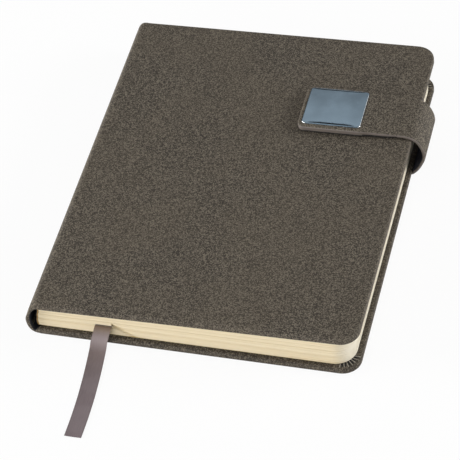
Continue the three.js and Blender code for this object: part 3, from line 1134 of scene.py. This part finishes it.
def back_strip(name, z0, z1, near, far, low_y, high_y, finish):
    """A strip on the rounded back of the leaves, between two distances from them in mm."""
    heights = [z0 + (z1 - z0) * step / 12 for step in range(13)]
    outer = [(back_at(z) - mm(far), z) for z in heights]
    inner = [(back_at(z) - mm(near), z) for z in heights]
    piece = two_faced(
        name, outer, mm(low_y), mm(high_y), (), (0, mm(11)), lambda column, y: inner[column]
    )
    smooth(piece, 50)
    coat(piece, finish)
    return piece


def flatten(piece):
    """Gives a glued back its own mesh."""
    mm(-80.7)
    mm(11)
    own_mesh(piece)


def flyleaf(name, node, body, level, in_front):
    """The ivory leaf between a cover and the pages."""
    piece = rounded_block(
        name, (BLOCK_BACK, TAIL_Y + mm(0.1), level),
        (BLOCK_FORE - mm(0.1), -TAIL_Y - mm(0.1), level + mm(0.25)), mm(10.5), (0, 1), 10,
    )
    round_outline(piece, level, mm(0.05), None, 1)
    widen_at_head(piece, mm(0.8))
    smooth(piece)
    coat(piece, "endpaper")
    if in_front:
        onto_front(piece)
    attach(piece, body)
    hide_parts(node)


def text_block(sizes):
    """Both halves of the pages, their flyleaves, the glued back and the head bands."""
    pattern = leaf_pattern()
    lower = half_block(
        "lower_pages", pattern, 5, sizes, lambda x: LOWER_FLOOR, lambda x: LOWER_TOP, False, 21
    )
    upper = half_block(
        "upper_pages", pattern, 7, sizes, lambda x: UPPER_FLOOR, under_front, True, 22
    )
    bpy.data.objects.remove(pattern)
    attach(lower, "back_cover")
    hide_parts(*[f"lower_signature_{i}" for i in range(1, 6)])
    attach(upper, "front_pages")
    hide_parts(*[f"upper_signature_{i}" for i in range(1, 8)])
    flyleaf("back_flyleaf_sheet", "back_flyleaf", "back_cover", COVER + mm(0.13), False)
    flyleaf("front_flyleaf_sheet", "front_flyleaf", "front_pages", -mm(4.2), True)
    for half, body, z0, z1 in (
        ("lower", "back_cover", LOWER_FLOOR - mm(0.1), LOWER_TOP),
        ("upper", "front_pages", UPPER_FLOOR, mm(17.9)),
    ):
        glue = back_strip(f"{half}_back_glue", z0, z1, 0, 0.4, -101.9, 101.9, "glue")
        gauze = back_strip("gauze", z0, z1, 0.6, 0.9, -102.5, 102.5, "gauze")
        glue = join([glue, gauze], f"{half}_back_glue")
        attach(glue, body)
        flatten(glue)
        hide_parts(f"{half}_glue")
        for end, y0, y1 in (("tail", -102.4, -100.2), ("head", 100.2, 102.4)):
            band = back_strip(f"{end}_band_silk_{half}", z0, z1, 0.15, 0.6, y0, y1, "band")
            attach(band, body)
            flatten(band)
            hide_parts(f"{end}_band_{half}")


# Ribbon marker

RIBBON_X = mm(-47.5)
RIBBON_MID = mm(9.7)
ON_TABLE = mm(0.2)
RIBBON_THICK = mm(0.3)
RIBBON_FALL = (
    (0, -0.3, 0), (-0.1, -1.3, 0.35), (-0.35, -2.4, 1.4), (-0.8, -3.3, 3), (-1.3, -4.2, 4.9),
    (-1.75, -5.3, 6.8),
)
RIBBON_REST = (
    (-1.8, -6.7, 1.3), (-1.7, -8.7, 0.45), (-1.45, -11.7, 0.1), (-1, -16, 0), (-0.5, -21, 0),
    (-0.05, -26, 0), (0.35, -31.4, 0), (0.7, -36.4, 0), (0.95, -41.5, 0), (1.1, -46.5, 0),
    (1.2, -51.5, 0), (1.2, -57, 0), (1.15, -62.9, 0.05),
)
RIBBON_ROUTE = [
    *((RIBBON_X + mm(x), TAIL_Y + mm(y), RIBBON_MID - mm(drop)) for x, y, drop in RIBBON_FALL),
    *((RIBBON_X + mm(x), TAIL_Y + mm(y), ON_TABLE + mm(rise)) for x, y, rise in RIBBON_REST),
]


def ribbon(sizes):
    """A flat strip with firmer edges, extruded along its route with its ends cut straight."""
    route = smooth_route(RIBBON_ROUTE, 4)
    columns = (-1, -0.94, -0.86, -0.5, 0, 0.5, 0.86, 0.94, 1)

    def column_at(x):
        return columns[round((x + 1) / 2 * (len(columns) - 1))]

    piece = primitive("ribbon", bpy.ops.mesh.primitive_grid_add, size=2,
                      x_subdivisions=len(columns) - 1, y_subdivisions=len(route) - 1)
    uv = piece.data.uv_layers.new(name="ribbon")
    for loop in piece.data.loops:
        place = piece.data.vertices[loop.vertex_index].co
        uv.data[loop.index].uv = ((column_at(place.x) + 1) / 2, (1 - place.y) / 2)
    for vertex in piece.data.vertices:
        column = column_at(vertex.co.x)
        index = round((1 - vertex.co.y) / 2 * (len(route) - 1))
        ahead = (route[min(index + 1, len(route) - 1)] - route[max(index - 1, 0)]).normalized()
        up = Vector((0, -ahead.z, ahead.y))
        up = up if up.z > 0 else -up
        cup = mm(0.12) * column ** 2 * min(1, index / 10)
        aside = Vector((column * sizes.ribbon_width / 2, 0, 0))
        vertex.co = route[index] + aside + up * (cup + RIBBON_THICK / 2)
    thicken(piece, RIBBON_THICK * 0.85, -1)
    smooth(piece, 50)
    for spare in [layer for layer in piece.data.uv_layers if layer.name != "ribbon"]:
        piece.data.uv_layers.remove(spare)
    coat(piece, "ribbon")
    length = sum((b - a).length for a, b in zip(route, route[1:]))
    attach(piece, "back_cover")
    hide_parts("ribbon_tail")
    tuple(route[0])
    [tuple(point) for point in route]


# Strap

STRAP_SEAM = mm(74)
PAD_X0 = mm(21.2)
PAD_HALF = mm(15.3)
PAD_TOP = mm(3.9)
NECK_TOP = mm(2.4)
PLATE_LOW = (mm(23.3), mm(34.45))
PLATE_HIGH = (mm(54.5), mm(61.4))
STRAP_OUTER = [
    *((mm(x), mm(z)) for x, z in (
        (79.4, 0.05), (80.6, 0.1), (81.6, 0.4), (82.6, 1.15), (83.7, 2.45), (84.8, 3.95),
        (86.15, 6.3), (87.25, 8.9), (88.2, 11.4), (88.6, 13.8), (88.5, 16), (88, 18.4),
        (87.1, 20.8), (85.9, 23.1), (84.2, 25.2), (81.9, 26.8), (79.2, 27.6), (76.4, 27.9),
    )),
    front_point(STRAP_SEAM, NECK_TOP),
]


def strap_lines():
    """The strap's outer and inner line from under the back cover to the neck."""
    outer = [(p.x, p.z) for p in smooth_route([(x, 0, z) for x, z in STRAP_OUTER], 4)]
    inner = []
    for index, (x, z) in enumerate(outer):
        xa, za = outer[max(index - 1, 0)]
        xb, zb = outer[min(index + 1, len(outer) - 1)]
        along = math.dist((xa, za), (xb, zb))
        x_in, z_in = x - (zb - za) / along * STRAP_THICK, z + (xb - xa) / along * STRAP_THICK
        in_recess = x_in < FORE_X and z < mm(5)
        inner.append((x_in, min(z_in, mm(1.15)) if in_recess else z_in))
    return outer, inner


def strap_run(name, outer, inner):
    """A run of the strap: leather outside, dark lining inside, painted edges."""
    low_y, high_y = STRAP_Y - STRAP_HALF, STRAP_Y + STRAP_HALF
    piece = two_faced(
        name, outer, low_y, high_y, (), (mm(79), mm(13)), lambda column, y: inner[column]
    )
    with Editing(piece) as edit:
        edit.pick("EDGE", end_edges(outer, STRAP_Y, STRAP_HALF))
        edit.bevel(mm(0.5), 4)
        edit.pick("EDGE", end_edges(inner, STRAP_Y, STRAP_HALF))
        edit.bevel(mm(0.4), 3)
    smooth(piece, 50)
    coat(piece, "strap_leather", "edge", "strap_lining")

    def faces_in(face):
        x, y, z = face.center
        column = nearest(inner, x, z)
        return math.dist(inner[column], (x, z)) < math.dist(outer[column], (x, z))

    coat_faces(piece, 2, faces_in)
    coat_faces(piece, 1, lambda face: abs(face.normal.y) > 0.3)
    return piece


def along_tip(x, places):
    """A value at x between the given pairs (x, value) in mm, with soft steps."""
    x = x * 1000
    for (xa, a), (xb, b) in zip(places, places[1:]):
        if x <= xb:
            t = max(0.0, (x - xa) / (xb - xa))
            return mm(a + (b - a) * t * t * (3 - 2 * t))
    return mm(places[-1][1])


def strap_tip():
    """The pad, firm and thick, that thins smoothly into the neck, with a seat for the plate."""
    low, high = mm(0.2), PAD_TOP
    piece = rounded_block(
        "strap_tip_leather", (PAD_X0, STRAP_Y - PAD_HALF, low),
        (STRAP_SEAM, STRAP_Y + PAD_HALF, high), mm(3.6), (1, 0), 10,
    )
    round_outline(piece, low, mm(0.9), STRAP_SEAM, 4)
    round_outline(piece, high, mm(1.1), STRAP_SEAM, 5)
    cut_across(piece, 0, [mm(x) for x in range(51, 74)])
    cut_across(piece, 2, (mm(1.3), mm(1.9)))

    def floor_at(x):
        return along_tip(x, ((53, 0.1), (58, 0.15), (70, 0.2), (74, 0.9)))

    def top_at(x):
        return along_tip(x, ((54, 3.9), (60, 2.95), (66, 2.8), (75, 2.4)))

    for vertex in piece.data.vertices:
        x, y, z = vertex.co
        slim = along_tip(x, ((52, 1), (59, 0.46), (75, 0.46))) * 1000
        half = along_tip(x, ((54, 15.3), (60, 14.5), (75, 14.5)))
        floor_z, top_z = floor_at(x), top_at(x)
        if PAD_HALF - abs(y - STRAP_Y) < mm(1.15):
            side = math.copysign(1, y - STRAP_Y)
            if side < 0:
                half += along_tip(x, ((66, 0.4), (74, 0)))
            y = STRAP_Y + side * (half - (PAD_HALF - abs(y - STRAP_Y)) * slim)
        vertex.co = (x, y, floor_z + (z - low) / (high - low) * (top_z - floor_z))
    (x0, y0), (x1, y1), play = PLATE_LOW, PLATE_HIGH, mm(0.15)
    carve(piece, rounded_block(
        "seat", (x0 - play, y0 - play, PAD_TOP - mm(0.9)),
        (x1 + play, y1 + play, PAD_TOP + mm(3)), mm(2.05), (1, 1), 6,
    ))
    smooth(piece, 40)
    coat(piece, "strap_leather", "edge", "strap_lining", "crease")

    def on_side(face):
        x, y, z = face.center
        outside = abs(y - STRAP_Y) > mm(14) or x < PAD_X0 + mm(1.3)
        return outside and face.normal.z < 0.6

    def painted_shadow_foot(face):
        x, y, z = face.center
        share = 0.3 if x < mm(56) else 0.46
        return on_side(face) and z - floor_at(x) < (top_at(x) - floor_at(x)) * share

    coat_faces(piece, 1, on_side)
    # The lowest part of each side is painted near black as the shadow under the pad and the neck
    coat_faces(piece, 3, painted_shadow_foot)
    coat_faces(piece, 2, lambda face: face.normal.z < -0.95)
    onto_front(piece)
    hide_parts("tip_leather", "neck_lining", "tip_lining")
    mm(73.5)
    mm(28)
    mm(66.5)
    mm(28)
    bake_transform(piece)


def strap():
    """The strap in three runs: the lower and the upper run round the fore-edge, and the tip."""
    outer, inner = strap_lines()
    cut = next(i for i, (x, z) in enumerate(outer) if z > mm(7))
    lower = strap_run("strap_lower_leather", outer[: cut + 1], inner[: cut + 1])
    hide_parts("strap_low_leather", "strap_low_lining")
    mm(79.8)
    mm(83.2)
    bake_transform(lower)
    upper = strap_run("strap_upper_leather", outer[cut:], inner[cut:])
    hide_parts("strap_high_leather", "strap_high_lining")
    mm(88)
    mm(10.5)
    mm(88)
    mm(16.5)
    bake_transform(upper)
    strap_tip()


def plate(sizes):
    """The metal plate: tight corners, a bevel painted bright as highlight on its right, its head
    side and its tail's left corner and dark as shade along the rest of the tail, and a face that
    is gently domed.
    """
    low, high = (*PLATE_LOW, PAD_TOP - mm(0.8)), (*PLATE_HIGH, PAD_TOP + mm(0.35))
    piece = rounded_block("plate", low, high, mm(1.9), (1, 1), 8)
    round_outline(piece, high[2], mm(0.4), None, 4)
    cuts = 44
    with Editing(piece) as edit:
        for step in range(1, cuts):
            share = 0.5 - 0.5 * math.cos(math.pi * step / cuts)
            edit.slice((low[0] + (high[0] - low[0]) * share, 0, 0), (1, 0, 0))
            edit.slice((0, low[1] + (high[1] - low[1]) * share, 0), (0, 1, 0))
    middle = Vector((low[0] + high[0], low[1] + high[1], 0)) / 2
    for vertex in piece.data.vertices:
        if vertex.co.z > high[2] - mm(0.41):
            across = (vertex.co.x - middle.x) / (high[0] - middle.x)
            along = (vertex.co.y - middle.y) / (high[1] - middle.y)
            rise = 1 - abs(across) ** 5
            vertex.co.z += sizes.plate_dome * rise * (1 - abs(along) ** (6 if along < 0 else 14))
    smooth(piece, 30)
    coat(piece, "plate", "plate_edge", "plate_shade")

    def painted_highlight_faces(face):
        nx, ny, nz = face.normal
        in_corner = nx > -0.9 and ny < -0.3 and face.center.x < low[0] + mm(2)
        return 0.25 < nz < 0.93 and (nx > 0.3 or ny > 0.3 or in_corner)

    # The bevel is painted dark as shade along the tail, then bright as highlight on its right, its
    # head side and its tail's left corner
    coat_faces(piece, 2, lambda face: face.normal.z < 0.93 and face.normal.y < -0.3)
    coat_faces(piece, 1, painted_highlight_faces)
    onto_front(piece)
    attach(piece, "strap_tip")
    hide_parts("tip_plate")


# Stage

CAD_FINISHES = {
    "leatherette": "leather", "lining": "lining", "greyboard": "greyboard", "paper": "paper",
    "endpaper": "endpaper", "glue": "glue", "band": "band", "ribbon": "ribbon_inner",
    "plate": "plate", "magnet": "magnet",
}


def dress_nodes():
    """Gives every CAD node the finish of its slot."""
    slots = {row["node"]: row["material_slot"] for row in frame["record"]["subparts"]}
    for name, node in frame["nodes"].items():
        finish = FINISHES[CAD_FINISHES[slots[name]]]
        if not node.material_slots:
            node.data.materials.append(finish)
        for slot in node.material_slots:
            slot.material = finish


WORLD_STRENGTH = 0.36
FLOOR_WHITE = 0.93
LAMPS = (
    ("lamp_left", (-1.7, -0.4, 0.42), (1.0, 0.7), 34),
    ("lamp_right", (1.62, 0.5, 0.6), (1.0, 0.6), 25),
    ("lamp_front", (-0.9, -1.7, 0.3), (1.2, 0.5), 15),
)
CARDS = (
    ("card_above", (-0.25, 0.95, 1.6), (1.4, 0.24)),
    ("card_behind", (-0.45, 1.5, 0.78), (1.6, 0.3)),
)
FRAME_PIXELS = 460
FOCAL_PIXELS = 2361.3
SHIFT_PIXELS = (-20.43, -8.75)
CAMERA_DISTANCE = 1.21963
WHITE = (1, 1, 1, 1)


def camera():
    """The photograph's view: 18 degrees round from the tail, 46 degrees up, a little rolled."""
    around, above, roll = math.radians(17.83), math.radians(46.36), math.radians(-6.18)
    target = Vector((mm(5.17), mm(-12.73), 0))
    back = Vector((
        math.sin(around) * math.cos(above), -math.cos(around) * math.cos(above), math.sin(above)
    ))
    level = Vector((math.cos(around), math.sin(around), 0))
    upright_to_it = back.cross(level)
    right = level * math.cos(roll) + upright_to_it * math.sin(roll)
    up = upright_to_it * math.cos(roll) - level * math.sin(roll)
    data = bpy.data.cameras.new("camera")
    data.sensor_width = 36
    data.lens = FOCAL_PIXELS / FRAME_PIXELS * data.sensor_width
    data.shift_x, data.shift_y = (shift / FRAME_PIXELS for shift in SHIFT_PIXELS)
    data.clip_start, data.clip_end = 0.05, 20
    eye = bpy.data.objects.new("camera", data)
    eye.matrix_world = Matrix.Translation(target + back * CAMERA_DISTANCE) @ Matrix(
        (right, up, back)
    ).transposed().to_4x4()
    bpy.context.collection.objects.link(eye)
    bpy.context.scene.camera = eye


def end_in_white(finish, plain, white, share, output):
    """Ends the nodes with a mix whose white camera, glossy and transmission rays see."""
    path = finish.node("ShaderNodeLightPath")
    direct = Value(finish, path.outputs["Is Camera Ray"])
    for kind in ("Is Glossy Ray", "Is Transmission Ray"):
        direct = direct.maths("MAXIMUM", direct, Value(finish, path.outputs[kind]))
    seen = finish.node("ShaderNodeMixShader", None, {
        0: direct * share, 1: plain.outputs[0], 2: white.outputs[0],
    })
    finish.node(output, None, {0: seen.outputs[0]})


def world():
    """Even light from all round, in front of a background that is seen as plain white."""
    studio = Finish("studio", bpy.data.worlds.new("studio"))
    light, white = (
        studio.node("ShaderNodeBackground", None, {"Color": WHITE, "Strength": strength})
        for strength in (WORLD_STRENGTH, 1.0)
    )
    end_in_white(studio, light, white, 1.0, "ShaderNodeOutputWorld")
    bpy.context.scene.world = studio.material


def lamp(name, place, size, power):
    """A soft area lamp that looks at the journal."""
    data = bpy.data.lights.new(name, "AREA")
    data.shape, data.size, data.size_y = "RECTANGLE", size[0], size[1]
    data.energy = power
    light = bpy.data.objects.new(name, data)
    direction = Vector((0, 0, 0.01)) - Vector(place)
    light.matrix_world = Matrix.Translation(place) @ direction.to_track_quat(
        "-Z", "Y").to_matrix().to_4x4()
    bpy.context.collection.objects.link(light)


def floor():
    """A pale floor just under the journal, which keeps its shadow faintly."""
    piece = primitive("floor", bpy.ops.mesh.primitive_plane_add, size=6,
                      location=(0, 0, mm(-0.05)))
    finish = Finish("floor_white")
    surface = finish.node("ShaderNodeBsdfPrincipled", None, {
        "Base Color": (0.93, 0.93, 0.93, 1), "Roughness": 0.7, "Specular IOR Level": 0.2,
    })
    white = finish.node("ShaderNodeEmission", None, {"Color": WHITE, "Strength": 1.0})
    end_in_white(finish, surface, white, FLOOR_WHITE, "ShaderNodeOutputMaterial")
    piece.data.materials.append(finish.material)


def dark_card(name, place, size):
    """A black card that faces the journal, and that only its polished faces see."""
    card = primitive(name, bpy.ops.mesh.primitive_plane_add, size=1, location=place)
    card.scale = (size[0], size[1], 1)
    card.rotation_euler = (-Vector(place)).to_track_quat("Z", "Y").to_euler()
    finish = Finish(f"{name}_black")
    grain = finish.noise(0.2, 2.0)
    finish.shade(
        Base_Color=finish.mix(grain, (0.004, 0.005, 0.006, 1), (0.008, 0.009, 0.011, 1)),
        Roughness=1.0, Specular_IOR_Level=0.0,
    )
    card.data.materials.append(finish.material)
    card.visible_camera = card.visible_diffuse = card.visible_shadow = False


# Operators


class JOURNAL_OT_stage(bpy.types.Operator):
    """Sets the camera, the floor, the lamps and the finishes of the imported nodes"""

    bl_idname = "journal.stage"
    bl_label = "Stage and finishes"

    def execute(self, context):
        camera()
        world()
        floor()
        for name, place, size, power in LAMPS:
            lamp(name, place, size, power)
        for name, place, size in CARDS:
            dark_card(name, place, size)
        make_finishes(context.scene.journal_colours)
        dress_nodes()
        return {"FINISHED"}


class JOURNAL_OT_ribbon(bpy.types.Operator):
    """Lays the ribbon marker along its route"""

    bl_idname = "journal.ribbon"
    bl_label = "Ribbon marker"

    def execute(self, context):
        ribbon(context.scene.journal_sizes)
        return {"FINISHED"}


class JOURNAL_OT_covers(bpy.types.Operator):
    """Wraps the covers and the spine in leather"""

    bl_idname = "journal.covers"
    bl_label = "Covers and spine"

    def execute(self, context):
        for piece in (back_leather, front_leather, spine_leather):
            piece(context.scene.journal_sizes)
        return {"FINISHED"}


class JOURNAL_OT_pages(bpy.types.Operator):
    """Stacks the leaves of both halves of the text block"""

    bl_idname = "journal.pages"
    bl_label = "Pages"

    def execute(self, context):
        text_block(context.scene.journal_sizes)
        return {"FINISHED"}


class JOURNAL_OT_strap(bpy.types.Operator):
    """Bends the strap round the fore-edge and sets the plate in its pad"""

    bl_idname = "journal.strap"
    bl_label = "Strap and plate"

    def execute(self, context):
        strap()
        plate(context.scene.journal_sizes)
        return {"FINISHED"}


STEPS = (
    JOURNAL_OT_stage, JOURNAL_OT_ribbon, JOURNAL_OT_covers, JOURNAL_OT_pages, JOURNAL_OT_strap,
)


class JOURNAL_PT_panel(bpy.types.Panel):
    """Sizes, colours and steps of the journal"""

    bl_label = "Journal"
    bl_idname = "JOURNAL_PT_panel"
    bl_space_type = "VIEW_3D"
    bl_region_type = "UI"
    bl_category = "Journal"

    def draw(self, context):
        for group in (context.scene.journal_sizes, context.scene.journal_colours):
            for name in group.__annotations__:
                self.layout.prop(group, name)
        for step in STEPS:
            self.layout.operator(step.bl_idname)


CLASSES = (JournalSizes, JournalColours, *STEPS, JOURNAL_PT_panel)


def register():
    for item in CLASSES:
        bpy.utils.register_class(item)
    bpy.types.Scene.journal_sizes = bpy.props.PointerProperty(type=JournalSizes)
    bpy.types.Scene.journal_colours = bpy.props.PointerProperty(type=JournalColours)


def unregister():
    del bpy.types.Scene.journal_colours
    del bpy.types.Scene.journal_sizes
    for item in reversed(CLASSES):
        bpy.utils.unregister_class(item)


def main():
    register()
    bpy.context.scene.view_settings.view_transform = "Standard"
    bpy.ops.journal.stage()
    bpy.ops.journal.ribbon()
    bpy.ops.journal.covers()
    bpy.ops.journal.pages()
    bpy.ops.journal.strap()


if __name__ == "__main__":
    main()
